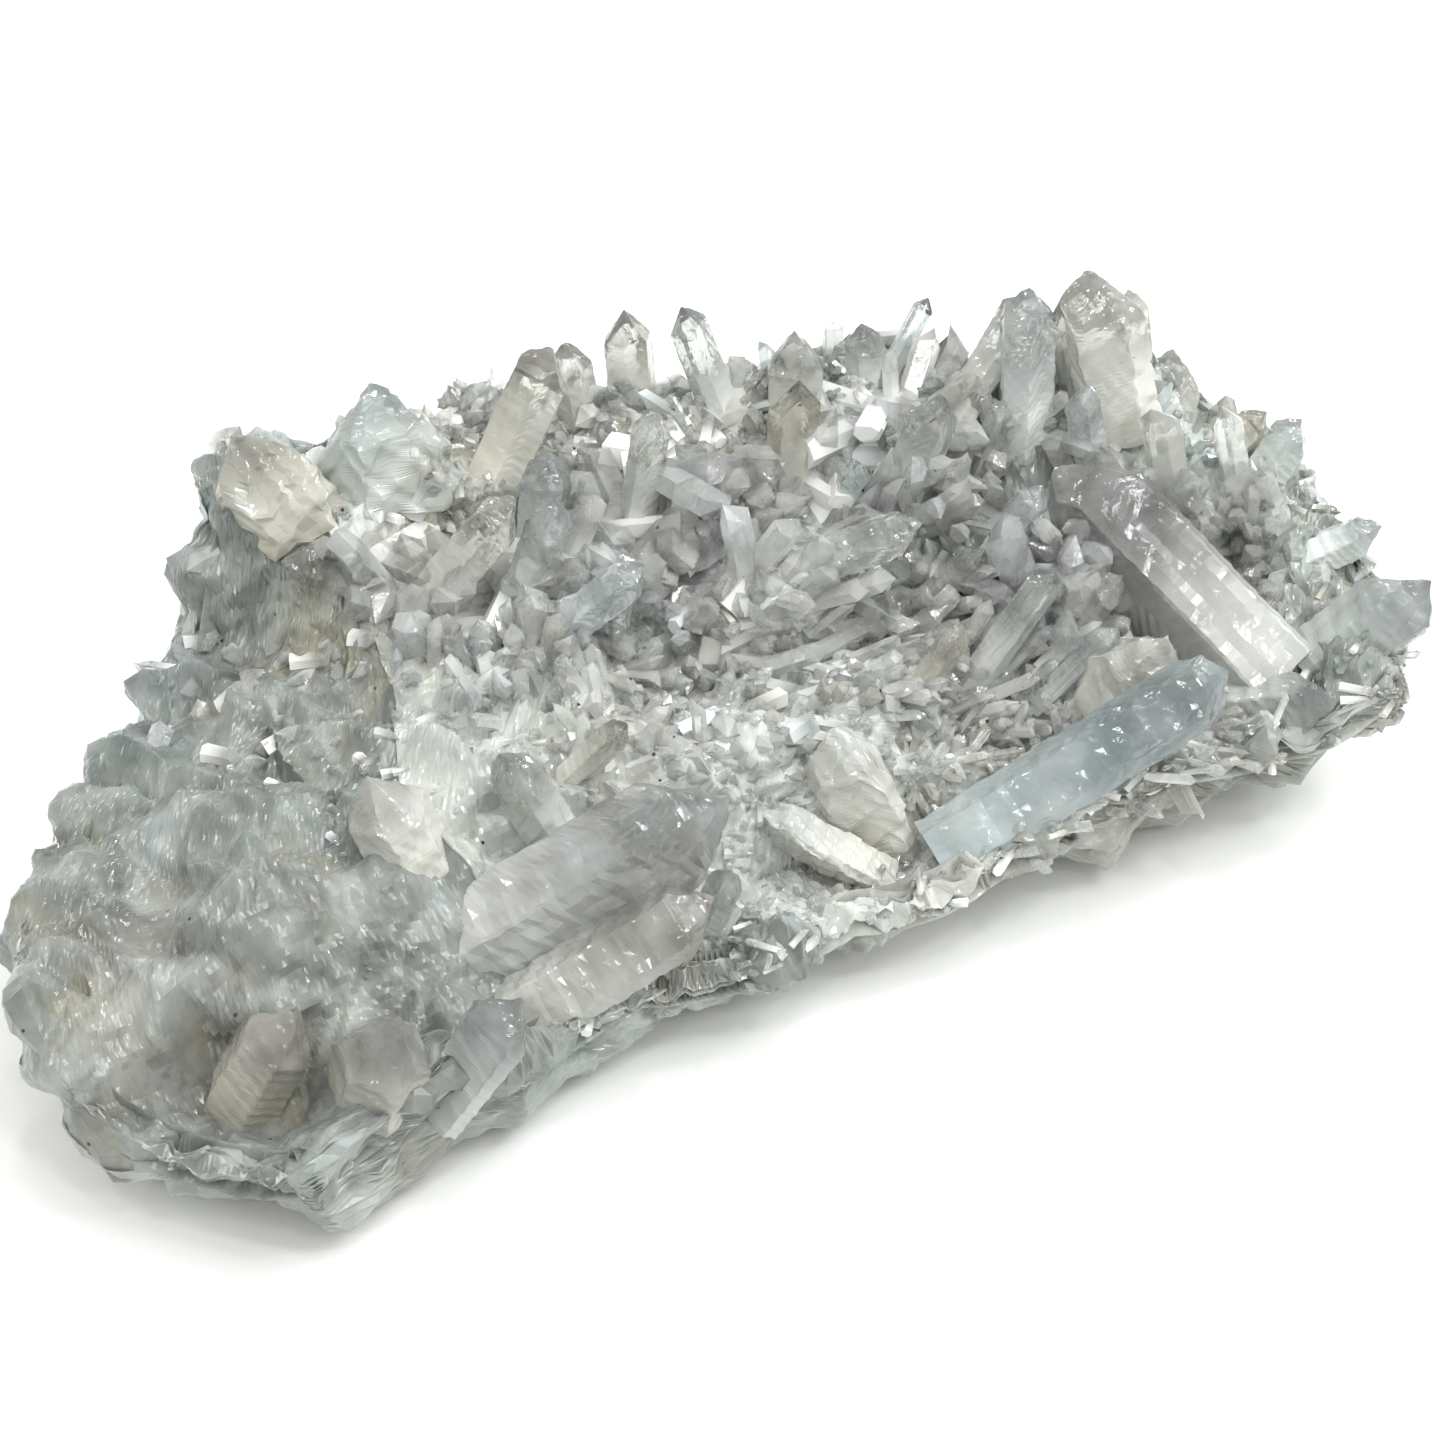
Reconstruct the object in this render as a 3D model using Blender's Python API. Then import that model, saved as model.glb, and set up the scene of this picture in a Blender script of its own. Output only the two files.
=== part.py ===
"""Quartz crystal cluster, lying on its broken underside.

A slab of massive, milky vein quartz, high along its back and thin along its front, carries the named
crystals. Each crystal is a six-sided prism that ends in the six sloping faces of a quartz point, and it
sits in its own socket in the slab. X runs along the slab, Y across it from front to back, and Z is up.
The origin is on the resting face, below the middle of the cluster.
"""

import math

import bmesh
import bpy
import numpy as np
from mathutils import Matrix, Vector

MM = 0.001  # the sizes below are in millimetres and degrees

# The slab: its plan, with the height of the underside's outer edge, and the height of its terraces.
CENTRE = (8.0, 6.0)  # the middle of the plan, which the outline is measured round
OUTLINE = [  # x, y and the edge's height above the table, anticlockwise from the near front corner
    (-112, -27, 3),
    (-101, -41, 3),
    (-74, -36, 4),
    (-38, -33, 6),
    (-2, -38, 9),
    (42, -40, 13),
    (78, -50, 16),
    (98, -58, 18),
    (112, -42, 16),
    (124, -14, 12),
    (130, 10, 10),
    (124, 34, 10),
    (94, 46, 10),
    (62, 52, 12),
    (40, 62, 14),
    (16, 74, 16),
    (-14, 82, 18),
    (-40, 88, 22),
    (-54, 77, 14),
    (-82, 52, 8),
    (-104, 34, 6),
    (-118, 14, 5),
    (-121, -8, 4),
]
TERRACES = [  # x, y and the height of the rock there
    (-106, -26, 17),
    (-88, -34, 20),
    (-106, 18, 28),
    (-86, 38, 29),
    (-66, 56, 28),
    (-86, 4, 34),
    (-60, -30, 18),
    (-60, 10, 34),
    (-56, 36, 31),
    (-38, 76, 55),
    (-16, 72, 56),
    (-24, 44, 37),
    (-28, 6, 33),
    (-26, -24, 16),
    (4, 70, 52),
    (4, 44, 40),
    (6, 6, 30),
    (4, -26, 16),
    (30, 52, 54),
    (34, 30, 42),
    (38, 0, 30),
    (40, -30, 20),
    (62, 36, 56),
    (66, 8, 40),
    (72, -22, 27),
    (80, -42, 23),
    (92, 20, 58),
    (98, -8, 44),
    (98, -36, 34),
    (106, -46, 30),
    (118, -8, 38),
    (124, 18, 38),
    (110, 40, 36),
]
TERRACE_SHARPNESS = 4.0  # the power of distance that weighs the terraces: a higher one makes flatter steps
WALL_BAND = 0.16  # the share of the ball's half-height that becomes the slab's side wall
FOOT_SHARE = 0.60  # the share of the plan, from its middle, that lies flat on the table
UNDERCUT = 0.07  # how far the wall leans in below, as a share of the plan
UNDERCUT_CURVE = 1.5  # the power with which it leans in on its way down
BELLY_CURVE = 1.6  # the power with which the underside climbs from the flat to its outer edge
BALL_SUBDIVISIONS = 5
FACET_SPACING = 12.0  # the mean width of the broken facets
FACET_TILT = 0.34  # the steepest slope that a facet adds
FACET_RELIEF = 3.0  # how far a facet stands above or below its terrace
FULL_RELIEF_AT = 22.0  # the slab's thickness from which the relief is full; a thinner edge has less
WALL_RELIEF = 0.7  # the share of that relief which the side wall shows at half its height
RIM_NOTCH = 0.025  # the deepest notch of the plan's edge, as a share of its radius
RIM_STEPS = 90  # how many notches there are round the plan
FACET_SEED = 13
NOTCH_SEED = 4

# The crystals.
SEAT_GAP = 0.4  # clearance round a crystal in its socket, and between two crystals that cross
SEAT_DEPTH = 7.0  # how far a crystal's foot goes into the slab, along its axis
FACE_SLOPE = 51.8  # the angle between the long axis and the normal of each face of a quartz point
FACE_SPREAD = 0.16  # how unequal the prism faces are, as a share of the half width
POINT_SPREAD = 0.30  # how much the lesser faces of a point are set back, as a share of the width
MAIN_FACE_SHARE = 0.25  # every second face of a point is a main one, set back by this share of that
SPIN_STEP = 7.0  # how far a crystal is turned about its own axis, in degrees for each mm of its width
CROSS_REACH = 0.65  # two crystals may cross where their axes come nearer than this share of both widths

# Each row is a name, the foot's x and y, the direction it leans in, its lean from upright, the length
# that stands out of the rock, its width, and its thickness as a share of the width.
CRYSTALS = [
    # along the back, against the sky
    ("back_clear_prism", -2, 62, -5, 30, 21, 11, 0.8),
    ("back_stub_left", 18, 69, 100, 10, 12, 9, 0.8),
    ("back_broad_point", 28, 66, 80, 10, 15, 11, 0.6),
    ("back_tall_blade", 36, 50, 130, 20, 20, 8, 0.7),
    ("back_chisel_block", 50, 47, 60, 12, 12, 12, 0.7),
    ("back_grey_post", 41, 36, 20, 5, 20, 8, 1.0),
    ("back_ragged_stub", 61, 41, 80, 8, 10, 8, 0.7),
    ("back_slim_needle", 69, 43, 0, 35, 13, 4, 0.7),
    ("back_slim_companion", 74, 34, 40, 15, 8, 7, 0.8),
    # the peak at the far end
    ("peak_main_prism", 92, 12, 120, 14, 22, 15, 0.8),
    ("peak_left_prism", 80, 20, 60, 6, 21, 12, 0.7),
    ("peak_ramp", 72, 27, 10, 48, 24, 10, 0.6),
    ("peak_right_spur", 101, 14, 80, 18, 16, 7, 0.8),
    ("peak_front_chip", 84, 6, 170, 14, 16, 7, 0.6),
    # the far end and its rim
    ("great_leaning_prism", 84, -31, 107, 58, 43, 19, 0.5),
    ("rim_north_block", 110, 16, 30, 18, 13, 13, 0.8),
    ("rim_east_block", 117, -4, -10, 34, 12, 9, 0.8),
    ("rim_smoky_point", 112, -26, -35, 62, 9, 8, 0.9),
    ("rim_sparkle_point", 121, 8, -20, 50, 8, 6, 0.9),
    ("right_end_block", 100, -44, -35, 44, 15, 14, 0.7),
    ("right_end_lower", 82, -42, -55, 70, 12, 11, 0.7),
    # the slope below the peak
    ("grey_round_prism", 53, 20, -20, 18, 20, 8, 0.9),
    ("slim_blade", 66, 18, -10, 22, 18, 6, 0.5),
    ("small_post", 45, 25, -90, 8, 10, 5, 1.0),
    ("beige_hex", 72, -6, -20, 18, 13, 8, 0.9),
    ("lavender_prism", 62, -13, -35, 35, 15, 8, 0.8),
    ("bright_wedge", 79, -17, -50, 45, 11, 7, 0.7),
    ("broad_dome", 60, -30, -60, 22, 16, 15, 0.9),
    ("radiating_long", 45, -12, -30, 30, 22, 6, 0.8),
    ("radiating_beige", 52, -20, -35, 38, 18, 5, 0.8),
    ("radiating_left", 33, -10, -40, 28, 14, 5, 0.8),
    ("radiating_upper", 58, 2, -30, 30, 16, 6, 0.8),
    ("radiating_middle", 48, 6, -45, 40, 14, 6, 0.8),
    ("flat_pale_prism", 27, 18, -40, 64, 24, 9, 0.6),
    ("glinting_prism", 34, 8, -55, 48, 12, 6, 0.8),
    # the middle and the left
    ("centre_striped_prism", 14, 44, 0, 12, 20, 7, 0.8),
    ("left_blocky_prism", -2, 50, 20, 12, 16, 9, 0.8),
    ("left_beige_prism", -12, 40, -20, 20, 18, 9, 0.7),
    ("left_glossy_prism", -26, 50, -22, 44, 24, 10, 0.7),
    ("left_bright_tablet", -32, 54, 158, 62, 17, 9, 0.5),
    ("centre_left_blade", -15, 28, -30, 50, 21, 9, 0.6),
    ("block_top_prism", -22, 68, 60, 14, 12, 20, 0.7),
    ("block_end_prism", -42, 72, 140, 24, 10, 19, 0.8),
    # along the front
    ("great_front_prism", -53, -15, -22, 62, 40, 17, 0.75),
    ("front_twin_prism", -50, -28, -20, 62, 26, 12, 0.8),
    ("glassy_tablet", -37, -8, 125, 32, 17, 11, 0.5),
    ("glassy_tablet_companion", -28, 0, -45, 40, 12, 6, 0.7),
    ("oval_chip", -22, -26, -40, 20, 11, 8, 0.4),
    ("round_pale_prism", -60, 0, 150, 20, 12, 12, 0.9),
    ("lower_right_blade", 25, -36, -18, 63, 46, 12, 0.7),
    ("white_block", 14, -20, 150, 18, 18, 15, 0.6),
    ("front_beige_point", -97, -19, -40, 28, 14, 12, 0.8),
    ("front_arch_prism", -84, -32, -60, 16, 13, 15, 0.7),
    ("front_corner_prism", -70, -35, -25, 36, 13, 11, 0.8),
    ("white_ledge", 5, -25, 140, 58, 14, 10, 0.6),
]


def clear_scene():
    for item in list(bpy.data.objects):
        bpy.data.objects.remove(item)


def quartz_finish(name, colour, roughness):
    """A plain quartz finish; the colour is linear."""
    finish = bpy.data.materials.new(name)
    finish.use_nodes = True
    shader = finish.node_tree.nodes["Principled BSDF"]
    shader.inputs["Base Color"].default_value = (*colour, 1)
    shader.inputs["Roughness"].default_value = roughness
    shader.inputs["Metallic"].default_value = 0
    shader.inputs["IOR"].default_value = 1.544
    return finish


def add_object(name, shape, finish):
    """Turns a bmesh into an object of the scene."""
    mesh = bpy.data.meshes.new(name)
    shape.to_mesh(mesh)
    shape.free()
    made = bpy.data.objects.new(name, mesh)
    made.data.materials.append(finish)
    bpy.context.scene.collection.objects.link(made)
    return made


def around_plan(angle, column):
    """The plan's radius (column None), or a column of the outline, read between its corners."""
    corners = np.array(OUTLINE, float)
    offset = corners[:, :2] - CENTRE
    values = np.hypot(offset[:, 0], offset[:, 1]) if column is None else corners[:, column]
    corner_angles = np.arctan2(offset[:, 1], offset[:, 0])
    order = np.argsort(corner_angles)
    return np.interp(angle, corner_angles[order], values[order], period=2 * math.pi)


def terrace_height(x, y):
    """The rock's height: the mean of the terraces, each weighed by the inverse power of its distance."""
    spots = np.array(TERRACES, float)
    distance = np.hypot(np.subtract.outer(x, spots[:, 0]), np.subtract.outer(y, spots[:, 1])) + 1.0
    weight = distance**-TERRACE_SHARPNESS
    return (weight * spots[:, 2]).sum(-1) / weight.sum(-1)


def rim_notches(angle):
    """How far the plan steps in or out at an angle, as a share of its radius."""
    steps = np.random.default_rng(NOTCH_SEED).uniform(-RIM_NOTCH, RIM_NOTCH, RIM_STEPS)
    return np.interp(angle, np.linspace(-math.pi, math.pi, RIM_STEPS), steps, period=2 * math.pi)


def facet_relief(points):
    """Planes of random height and tilt, one for each cell of a scattered set, as broken quartz shows."""
    scatter = np.random.default_rng(FACET_SEED)
    low, high = points.min(0), points.max(0)
    count = int(np.prod((high - low) / FACET_SPACING))
    seeds = scatter.uniform(low, high, (count, 3))
    lift = scatter.uniform(-FACET_RELIEF, FACET_RELIEF, count)
    tilt = scatter.uniform(-FACET_TILT, FACET_TILT, (count, 3))
    nearest = ((points[:, None] - seeds) ** 2).sum(2).argmin(1)
    slope = ((points - seeds[nearest]) * tilt[nearest]).sum(1)
    return lift[nearest] + np.clip(slope, -FACET_RELIEF, FACET_RELIEF)


def slab_points(ball):
    """Where each point of a unit ball goes: its upper cap to the terraces, its belt to the side wall, and
    its lower cap to the underside, which is flat in the middle and curves up to its outer edge."""
    angle, height = np.arctan2(ball[:, 1], ball[:, 0]), ball[:, 2]
    share = np.sqrt(np.clip((1 - np.abs(height)) / (1 - WALL_BAND), 0, 1))
    up_wall = np.clip((height + WALL_BAND) / (2 * WALL_BAND), 0, 1)
    reach = around_plan(angle, None) * share * (1 - UNDERCUT * (1 - up_wall) ** UNDERCUT_CURVE)
    reach = reach * (1 + rim_notches(angle))
    x = CENTRE[0] + reach * np.cos(angle)
    y = CENTRE[1] + reach * np.sin(angle)
    top = terrace_height(x, y)
    climb = np.clip((share - FOOT_SHARE) / (1 - FOOT_SHARE), 0, 1)
    under = around_plan(angle, 2) * climb**BELLY_CURVE
    z = under + (top - under) * up_wall
    points = np.stack([x, y, z], 1)
    outward = np.stack([np.cos(angle), np.sin(angle), np.zeros_like(angle)], 1)
    upward = np.array([0.0, 0.0, 1.0])
    on_top = np.clip((height - WALL_BAND) / WALL_BAND, 0, 1)
    on_wall = np.clip(1 - np.abs(height) / WALL_BAND, 0, 1) * WALL_RELIEF
    relief = facet_relief(points) * np.clip((top - under) / FULL_RELIEF_AT, 0, 1)
    return points + (relief * on_top)[:, None] * upward + (relief * on_wall)[:, None] * outward


def make_slab():
    shape = bmesh.new()
    bmesh.ops.create_icosphere(shape, subdivisions=BALL_SUBDIVISIONS, radius=1)
    ball = np.array([vertex.co for vertex in shape.verts])
    for vertex, place in zip(shape.verts, slab_points(ball)):
        vertex.co = Vector(place) * MM
    return add_object("quartz_slab", shape, quartz_finish("milky_quartz", (0.55, 0.57, 0.53), 0.35))


def cleave(shape, normal, distance):
    """Cuts away what lies beyond a plane, and closes the cut with one flat face."""
    geometry = shape.verts[:] + shape.edges[:] + shape.faces[:]
    cut = bmesh.ops.bisect_plane(
        shape, geom=geometry, plane_co=normal * distance, plane_no=normal, clear_outer=True
    )
    edges = [item for item in cut["geom_cut"] if isinstance(item, bmesh.types.BMEdge)]
    if edges:
        bmesh.ops.contextual_create(shape, geom=edges)


def crystal_shape(length, width, thickness, seed, grown):
    """A quartz crystal along +Z, cleaved out of a block: its foot is SEAT_DEPTH below the origin and its
    point at the length. Each face is grown outwards by the same amount, to make the cutter of a socket."""
    chance = np.random.default_rng(seed)
    unequal = chance.uniform(-FACE_SPREAD, FACE_SPREAD, 6)
    setback = chance.uniform(0, POINT_SPREAD, 6) * np.tile([MAIN_FACE_SHARE, 1.0], 3)
    shape = bmesh.new()
    bmesh.ops.create_cube(shape, size=2 * (length + SEAT_DEPTH + width) * MM)
    cleave(shape, Vector((0, 0, -1)), (SEAT_DEPTH + grown) * MM)
    slope = math.radians(FACE_SLOPE)
    for number in range(6):
        turn = math.radians(60 * number)
        across = Vector((math.cos(turn), math.sin(turn), 0))
        squeeze = math.hypot(across.x, across.y * thickness)
        apothem = width / 2 * squeeze * (1 + unequal[number])
        cleave(shape, across, (apothem + grown) * MM)
        facing = across * math.sin(slope) + Vector((0, 0, math.cos(slope)))
        tip = (length + setback[number] * width) * math.cos(slope)
        cleave(shape, facing, (tip + grown) * MM)
    bmesh.ops.recalc_face_normals(shape, faces=shape.faces)
    return shape


def crystal_place(row):
    """The matrix that stands a crystal on the rock at its foot, leaning as its row says."""
    _, x, y, direction, lean, _, width, _ = row
    foot = Vector((x, y, float(terrace_height(x, y)))) * MM
    heading = Matrix.Rotation(math.radians(direction), 4, "Z")
    tipped = Matrix.Rotation(math.radians(lean), 4, "Y")
    spin = Matrix.Rotation(math.radians(-direction + SPIN_STEP * width), 4, "Z")
    return Matrix.Translation(foot) @ heading @ tipped @ spin


def axis_points(row, count=24):
    """Points along a crystal's axis, from its foot to its point, in millimetres."""
    steps = np.linspace(-SEAT_DEPTH, row[5], count)
    place = crystal_place(row)
    return np.array([place @ Vector((0, 0, step * MM)) for step in steps]) / MM


def may_cross(row, other):
    """True if two crystals' axes come near enough for the crystals to meet."""
    gaps = np.linalg.norm(axis_points(row)[:, None] - axis_points(other)[None], axis=2)
    return gaps.min() < (row[6] + other[6]) * CROSS_REACH


def cut_by(made, cutter):
    cut = made.modifiers.new("cut_" + cutter.name, "BOOLEAN")
    cut.operation = "DIFFERENCE"
    cut.solver = "EXACT"
    cut.object = cutter


def make_crystals(slab):
    """Each crystal, its socket in the slab, and the cuts where it meets one that was there first."""
    clear = quartz_finish("clear_quartz", (0.70, 0.72, 0.70), 0.08)
    cutters = []
    for seed, row in enumerate(CRYSTALS):
        name, _, _, _, _, length, width, thickness = row
        crystal = add_object(name, crystal_shape(length, width, thickness, seed, 0), clear)
        crystal.matrix_world = crystal_place(row)
        for other, cutter in cutters:
            if may_cross(row, other):
                cut_by(crystal, cutter)
        cutter = add_object(
            name + "_socket", crystal_shape(length, width, thickness, seed, SEAT_GAP), clear
        )
        cutter.matrix_world = crystal.matrix_world
        cutter.hide_render = True
        cutter.display_type = "WIRE"
        cutters.append((row, cutter))
        cut_by(slab, cutter)


clear_scene()
make_crystals(make_slab())
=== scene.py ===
"""Quartz crystal cluster: the looks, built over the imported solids.

Sizes are in millimetres and degrees unless a name says otherwise; X runs along the slab, Y from its thin
front to its high back, and Z is up.
"""

import math

import bpy
import numpy as np
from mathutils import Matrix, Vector


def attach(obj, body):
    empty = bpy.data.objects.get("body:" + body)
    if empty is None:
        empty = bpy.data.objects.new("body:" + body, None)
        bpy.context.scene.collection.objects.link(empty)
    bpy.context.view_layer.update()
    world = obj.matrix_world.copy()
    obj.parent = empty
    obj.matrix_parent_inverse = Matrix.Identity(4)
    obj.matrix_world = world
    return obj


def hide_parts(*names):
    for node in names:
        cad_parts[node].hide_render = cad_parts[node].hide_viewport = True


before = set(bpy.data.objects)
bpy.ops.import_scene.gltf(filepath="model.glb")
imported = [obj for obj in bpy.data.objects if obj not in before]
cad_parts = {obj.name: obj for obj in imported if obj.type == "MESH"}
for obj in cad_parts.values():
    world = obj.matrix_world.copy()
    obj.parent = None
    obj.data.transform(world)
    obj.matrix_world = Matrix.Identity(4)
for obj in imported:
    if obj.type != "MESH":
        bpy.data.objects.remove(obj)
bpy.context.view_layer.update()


# ---- Floor, light and camera -------------------------------------------------------------------------
# A plain pale table top, wide enough to have no edge in view. Soft light comes from all round, as in a
# white tent, with one broad lamp at the front right for the shape and ten small ones for the glints.

MM = 0.001
MIDDLE = (0, 0, 0.03)  # the middle of the cluster, in metres, at which the lamps and the camera point


def linear(code):
    """The linear colour of an sRGB hex code: each channel through the sRGB curve."""
    channels = np.array([int(code[start : start + 2], 16) for start in (1, 3, 5)]) / 255
    low, high = channels / 12.92, ((channels + 0.055) / 1.055) ** 2.4
    return (*np.where(channels <= 0.04045, low, high), 1.0)


def add_node(tree, kind, inputs=None, **settings):
    """Adds a node. Its settings are its own properties; an input is a value or the socket that feeds it."""
    made = tree.nodes.new(kind)
    for name, value in settings.items():
        setattr(made, name, value)
    for name, value in (inputs or {}).items():
        if isinstance(value, bpy.types.NodeSocket):
            tree.links.new(value, made.inputs[name])
        else:
            made.inputs[name].default_value = value
    return made


def per_metre(size_mm):
    """The scale of a pattern whose parts are that far apart: how many of them fit in a metre."""
    return 1 / (size_mm * MM)


def new_finish(name):
    """An empty material, its node tree and its output node."""
    finish = bpy.data.materials.new(name)
    finish.use_nodes = True
    finish.node_tree.nodes.clear()
    return finish, finish.node_tree, add_node(finish.node_tree, "ShaderNodeOutputMaterial")


def make_floor(size_m):
    """A white laminate sheet, moulded with a matt grain about 1 mm apart that spreads the light."""
    finish, tree, output = new_finish("table_white_laminate")
    place = add_node(tree, "ShaderNodeTexCoord").outputs["Object"]
    grain = add_node(tree, "ShaderNodeTexNoise", {"Vector": place, "Scale": per_metre(1.1), "Detail": 2.0})
    rough = add_node(tree, "ShaderNodeMapRange", {"Value": grain.outputs[0], "To Min": 0.55, "To Max": 0.7})
    look = {"Base Color": linear("#f6f6f4"), "Roughness": rough.outputs[0]}
    shader = add_node(tree, "ShaderNodeBsdfPrincipled", look)
    tree.links.new(shader.outputs[0], output.inputs[0])
    mesh = bpy.data.meshes.new("floor")
    half = size_m / 2
    corners = [(-half, -half, 0), (half, -half, 0), (half, half, 0), (-half, half, 0)]
    mesh.from_pydata(corners, [], [(0, 1, 2, 3)])
    mesh.materials.append(finish)
    floor = bpy.data.objects.new("floor", mesh)
    bpy.context.collection.objects.link(floor)
    return floor


def aim(thing, place, target):
    """Puts a lamp or the camera at its place and turns it to look at the target."""
    thing.location = place
    thing.rotation_euler = (Vector(target) - Vector(place)).to_track_quat("-Z", "Y").to_euler()
    bpy.context.collection.objects.link(thing)


def add_lamp(name, place, size_m, watts, colour):
    """A square area lamp that points at the middle of the cluster."""
    data = bpy.data.lights.new(name, "AREA")
    data.shape = "SQUARE"
    data.size = size_m
    data.energy = watts
    data.color = linear(colour)[:3]
    aim(bpy.data.objects.new(name, data), place, MIDDLE)


def add_camera(azimuth, elevation, distance_m, lens, target):
    """A camera on a sphere round the target; azimuth 0 looks along +Y."""
    turn, rise = math.radians(azimuth), math.radians(elevation)
    away = Vector((math.sin(turn) * math.cos(rise), -math.cos(turn) * math.cos(rise), math.sin(rise)))
    data = bpy.data.cameras.new("camera")
    data.lens = lens
    data.sensor_width = 36
    data.clip_start = 0.01
    camera = bpy.data.objects.new("camera", data)
    aim(camera, Vector(target) + away * distance_m, target)
    bpy.context.scene.camera = camera


def light_the_tent(colour, strength):
    """The same pale light from every side."""
    world = bpy.data.worlds.new("white_tent")
    world.use_nodes = True
    background = world.node_tree.nodes["Background"]
    background.inputs["Color"].default_value = linear(colour)
    background.inputs["Strength"].default_value = strength
    bpy.context.scene.world = world


GLINT_LAMPS = [  # their places in metres
    (-0.45, 0.10, 0.80), (0.30, -0.10, 0.85), (0.15, 0.60, 0.60), (-0.10, -0.35, 0.80), (0.55, 0.35, 0.55),
    (0.20, -0.45, 0.70), (0.05, 0.20, 0.95), (-0.60, -0.30, 0.55), (0.60, -0.15, 0.50), (0.00, -0.60, 0.55),
]

bpy.context.scene.view_settings.view_transform = "Standard"
make_floor(size_m=6.0)
light_the_tent("#f8f9f8", strength=1.0)
add_lamp("broad_lamp", (0.40, -0.30, 0.75), size_m=0.6, watts=3.2, colour="#f6fafb")
for number, place in enumerate(GLINT_LAMPS):
    add_lamp("glint_lamp_%d" % number, place, size_m=0.08, watts=0.5, colour="#ffffff")
add_camera(azimuth=-36, elevation=35, distance_m=0.455, lens=70, target=MIDDLE)


# ---- The slab of massive quartz ----------------------------------------------------------------------
# Milky vein quartz, broken out of the rock: high along the back, thin along the front, and flat in the
# middle of its underside. One closed surface, a ball drawn out to the plan and the terraces, with a crust
# of fused grains over its top, as quartz grows where it has no room for points.

PLAN_CENTRE = (8.0, 6.0)
PLAN = [  # x, y and the height of the underside's outer edge, anticlockwise from the near front corner
    (-112, -27, 3), (-101, -41, 3), (-74, -36, 4), (-38, -33, 6), (-2, -38, 9), (42, -40, 13),
    (78, -50, 16), (98, -58, 18), (112, -42, 16), (124, -14, 12), (130, 10, 10), (124, 34, 10),
    (94, 46, 10), (62, 52, 12), (40, 62, 14), (16, 74, 16), (-14, 82, 18), (-40, 88, 22),
    (-54, 77, 14), (-82, 52, 8), (-104, 34, 6), (-118, 14, 5), (-121, -8, 4),
]
TERRACES = [  # x, y and the height of the rock there
    (-106, -26, 17), (-88, -34, 20), (-106, 18, 28), (-86, 38, 29), (-66, 56, 28), (-86, 4, 34),
    (-60, -30, 18), (-60, 10, 34), (-56, 36, 31), (-38, 76, 55), (-16, 72, 56), (-24, 44, 37),
    (-28, 6, 33), (-26, -24, 16), (4, 70, 52), (4, 44, 40), (6, 6, 30), (4, -26, 16), (30, 52, 54),
    (34, 30, 42), (38, 0, 30), (40, -30, 20), (62, 36, 56), (66, 8, 40), (72, -22, 27), (80, -42, 23),
    (92, 20, 58), (98, -8, 44), (98, -36, 34), (106, -46, 30), (118, -8, 38), (124, 18, 38), (110, 40, 36),
]
TERRACE_SHARPNESS = 4.0  # the power of the distance; a higher one makes the terraces flatter
WALL_BAND = 0.16  # the share of the ball's half-height that becomes the side wall
FOOT_SHARE = 0.60  # the share of the plan that lies flat on the table
UNDERCUT = 0.07  # how far the side wall draws in towards its foot, as a share of the plan
DRUSE_ROOM = 1.4  # how far the bare rock lies below the solid's surface, which the druse fills
SLAB_GRID = 217  # points along each side of the two square grids, above and below
CRUST_SINK = 1.0  # how far the slab's own top lies under its crust
CRUST_DEPTH = 5.0  # how far the underside of the crust lies below the bare slab's surface
CRUST_GRID = (300, 165)  # points from front to back and along, for each third of the crust
COARSE_GRAINS = (21.0, 0.75, 3.2, 3)  # the spacing, steepness, lift and seed of the fused grains
MEDIUM_GRAINS = (8.0, 0.6, 1.8, 5)
SMALL_GRAINS = (2.8, 0.7, 1.2, 7)
FINEST_GRAINS = (1.2, 0.5, 0.4, 9)
MILKY_SPOTS = [((6, -14), 20), ((-30, 78), 16), ((110, 14), 26)]  # where the crust is whitest, and how far
PAINTED_SHADE_SPOTS = [((-112, -4), 7), ((-24, 56), 12), ((-40, 48), 9)]  # where shade is painted on the crust in olive brown, as in a crack, and it is less clear, and how far
QUARTZ_IOR = 1.544
PAINTED_SHADE_COLOUR = "#857d63"  # painted shade in the roots and the cracks, an olive brown
ORE_COLOUR = "#3b3a36"


def around_plan(angle, column):
    """The plan's radius (column None) or a column of the plan, read between its corners by angle."""
    corners = np.array(PLAN, float)
    offset = corners[:, :2] - PLAN_CENTRE
    values = np.hypot(offset[:, 0], offset[:, 1]) if column is None else corners[:, column]
    corner_angles = np.arctan2(offset[:, 1], offset[:, 0])
    order = np.argsort(corner_angles)
    return np.interp(angle, corner_angles[order], values[order], period=2 * math.pi)


def terrace_height(x, y):
    """The rock's height: the mean of the terraces, each weighed by the inverse power of its distance."""
    spots = np.array(TERRACES, float)
    distance = np.hypot(np.subtract.outer(x, spots[:, 0]), np.subtract.outer(y, spots[:, 1])) + 1.0
    weight = distance**-TERRACE_SHARPNESS
    return (weight * spots[:, 2]).sum(-1) / weight.sum(-1)


def cell_chances(cell, count, seed):
    """Numbers from 0 to 1 for each whole-numbered cell: its three numbers are mixed into one, and each
    result is that mix multiplied, folded on itself and cut to 24 bits."""
    mixed = (cell[..., 0] * 73856093) ^ (cell[..., 1] * 19349663) ^ (cell[..., 2] * 83492791)
    mixed = (mixed + seed * 9781) & 0xFFFFFF
    chances = []
    for number in range(count):
        folded = (mixed * (2654435 + 7919 * number) + 104729 * (number + 1)) & 0xFFFFFFFF
        folded = ((folded ^ (folded >> 13)) * 1274126177) & 0xFFFFFFFF
        chances.append(((folded ^ (folded >> 16)) & 0xFFFFFF) / 0x1000000)
    return np.stack(chances, -1)


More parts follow.
